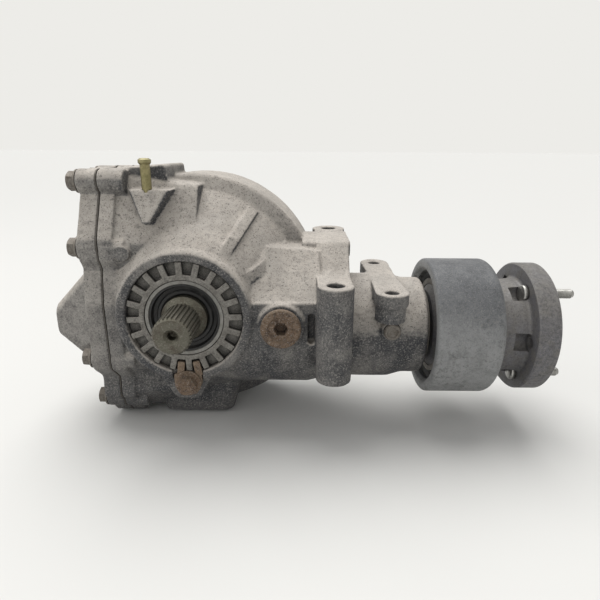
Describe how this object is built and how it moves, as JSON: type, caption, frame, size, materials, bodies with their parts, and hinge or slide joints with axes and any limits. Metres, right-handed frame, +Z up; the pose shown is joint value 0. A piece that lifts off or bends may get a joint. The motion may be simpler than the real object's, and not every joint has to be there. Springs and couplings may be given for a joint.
{
  "type": "rear axle final drive and differential",
  "caption": "Rear differential: cast housing, hypoid ring gear and pinion, bevel gears, splined output shafts, castellated adjusters, input flange with torsional damper",
  "frame": {"origin": "centre of the input flange's front face, on the pinion axis", "axes": "X along the pinion out of the input flange (towards the propeller shaft), Y along the output shafts towards the ring gear's side, Z up as installed"},
  "size_m": [0.4295, 0.2158, 0.2268],
  "materials": {
    "cast_aluminium": "sand-cast aluminium, dull and weathered",
    "gasket": "pressed fibre gasket",
    "weathered_steel": "dull plated steel with dust",
    "machined_steel": "clean machined or pressed steel",
    "cast_iron": "grey iron, dusty",
    "rusty_steel": "steel with brown surface rust",
    "rubber": "black nitrile rubber",
    "zinc": "zinc-plated steel, slightly yellow",
    "bearing_steel": "ground bearing steel",
    "gear_steel": "case-hardened gear steel, oiled",
    "shaft_steel": "machined shaft, stained and oily",
    "flange_steel": "dark coated forged steel",
    "damper_iron": "matt dark coated iron"
  },
  "bodies": {
    "housing": {"carrier_housing": "cast_aluminium", "rear_cover": "cast_aluminium", "cover_gasket": "gasket", "cover_bolts": "weathered_steel", "cover_dowels": "machined_steel", "bearing_adjuster_right": "cast_iron", "bearing_adjuster_left": "cast_iron", "lock_plates": "rusty_steel", "lock_plate_bolts": "rusty_steel", "side_seal_cases": "machined_steel", "side_seal_lips": "rubber", "fill_plug": "rusty_steel", "drain_plug": "rusty_steel", "plug_washers": "cast_aluminium", "breather_nipple": "zinc", "nose_side_plug": "weathered_steel", "side_bearing_cups": "bearing_steel", "pinion_bearing_cups": "bearing_steel", "pinion_seal_case": "machined_steel", "pinion_seal_lip": "rubber"},
    "case": {"diff_case": "cast_iron", "ring_gear": "gear_steel", "ring_gear_bolts": "machined_steel", "side_bearing_cones": "bearing_steel", "side_bearing_rollers": "bearing_steel", "side_bearing_cages": "machined_steel", "cross_pin": "machined_steel", "cross_pin_lock": "machined_steel", "side_thrust_washers": "machined_steel", "mate_thrust_washers": "machined_steel"},
    "input": {"drive_pinion": "gear_steel", "pinion_bearing_cones": "bearing_steel", "pinion_bearing_rollers": "bearing_steel", "pinion_bearing_cages": "machined_steel", "pinion_shim": "machined_steel", "collapsible_spacer": "machined_steel", "companion_flange": "flange_steel", "flange_studs": "zinc", "pinion_nut": "machined_steel", "pinion_nut_washer": "machined_steel", "dust_slinger": "weathered_steel", "damper_sleeve": "weathered_steel", "damper_rubber": "rubber", "damper_ring": "damper_iron"},
    "output_right": {"side_gear_right": "gear_steel", "output_shaft_right": "shaft_steel", "shaft_snap_ring_right": "machined_steel"},
    "output_left": {"side_gear_left": "gear_steel", "output_shaft_left": "shaft_steel", "shaft_snap_ring_left": "machined_steel"},
    "mate_front": {"pinion_mate_front": "gear_steel"},
    "mate_rear": {"pinion_mate_rear": "gear_steel"}
  },
  "joints": [
    {"name": "case_spin", "type": "hinge", "parent": "housing", "child": "case", "pos_m": [-0.291, 0.014, 0.022], "axis": [0, 1, 0], "continuous": true},
    {"name": "input_spin", "type": "hinge", "parent": "housing", "child": "input", "pos_m": [0, 0, 0], "axis": [1, 0, 0], "continuous": true},
    {"name": "right_output_spin", "type": "hinge", "parent": "case", "child": "output_right", "pos_m": [-0.291, -0.04, 0.022], "axis": [0, 1, 0], "continuous": true},
    {"name": "left_output_spin", "type": "hinge", "parent": "case", "child": "output_left", "pos_m": [-0.291, 0.07, 0.022], "axis": [0, 1, 0], "continuous": true},
    {"name": "front_mate_spin", "type": "hinge", "parent": "case", "child": "mate_front", "pos_m": [-0.263, 0.014, 0.022], "axis": [1, 0, 0], "continuous": true},
    {"name": "rear_mate_spin", "type": "hinge", "parent": "case", "child": "mate_rear", "pos_m": [-0.319, 0.014, 0.022], "axis": [1, 0, 0], "continuous": true}
  ],
  "couplings": [
    {"joint": "input_spin", "follows": "case_spin", "ratio": -3.7273},
    {"joint": "left_output_spin", "follows": "right_output_spin", "ratio": -1},
    {"joint": "front_mate_spin", "follows": "right_output_spin", "ratio": 1.6},
    {"joint": "rear_mate_spin", "follows": "right_output_spin", "ratio": -1.6}
  ]
}
